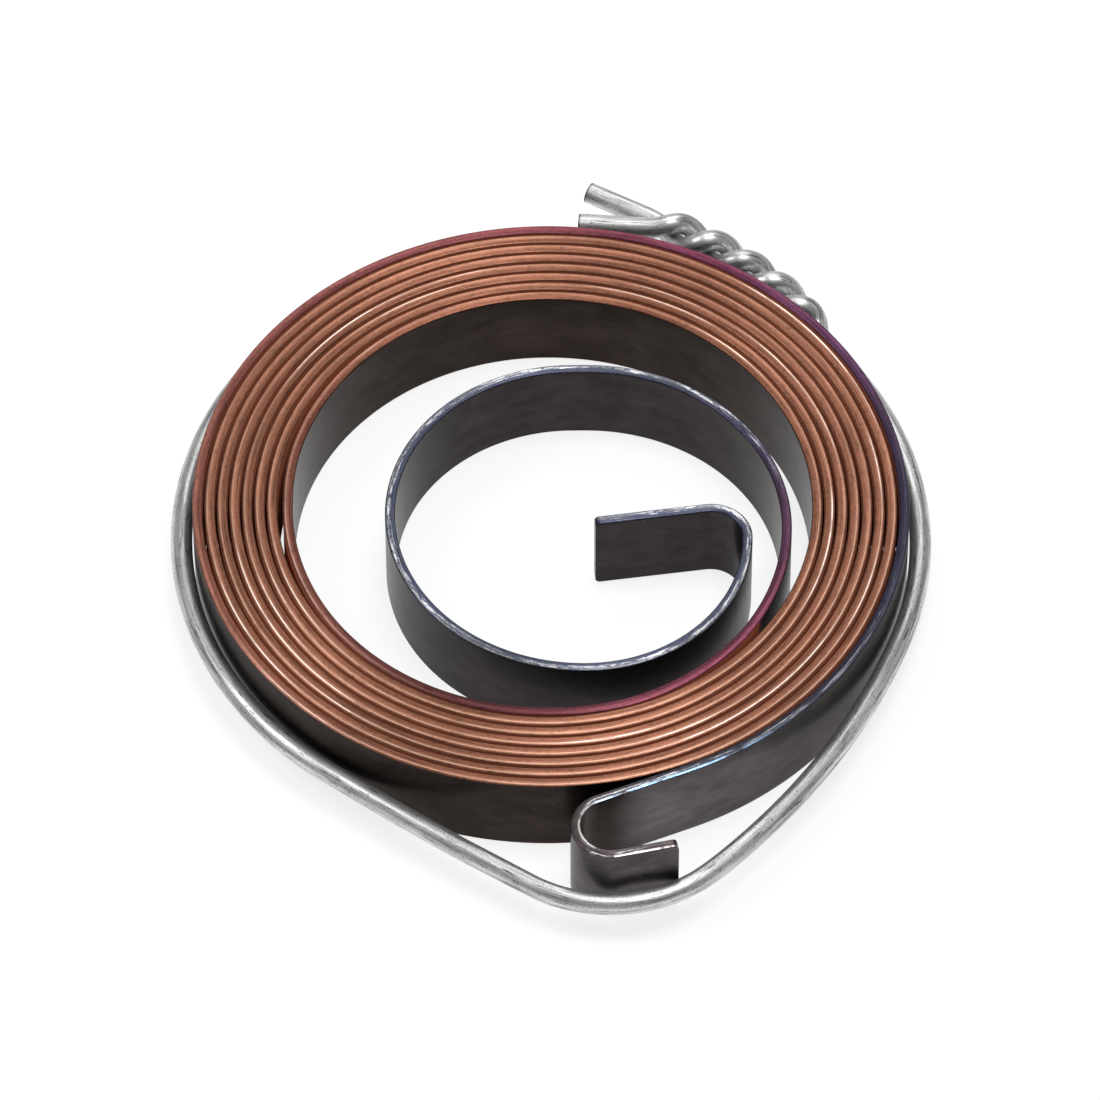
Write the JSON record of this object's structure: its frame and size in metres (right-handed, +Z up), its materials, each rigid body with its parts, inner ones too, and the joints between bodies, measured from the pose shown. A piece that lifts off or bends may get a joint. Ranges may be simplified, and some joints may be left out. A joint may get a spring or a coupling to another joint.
{
  "type": "spiral return spring",
  "caption": "Flat spiral return spring of blued steel strip with a bent inner tang and an outer hook, kept wound by a twisted tie wire.",
  "frame": {"origin": "on the axis of the wound coil, at the level of the strip's lower edge", "axes": "+Z up along the coil axis, -Y towards the outer hook, +X to the right as seen from the hook"},
  "size_m": [0.0524, 0.0634, 0.0066],
  "materials": {
    "blued_strip": "heat-blued, satin",
    "galvanised_wire": "galvanised, drawn"
  },
  "bodies": {
    "root": {"spiral_spring": "blued_strip", "tie_wire": "galvanised_wire"}
  },
  "joints": []
}
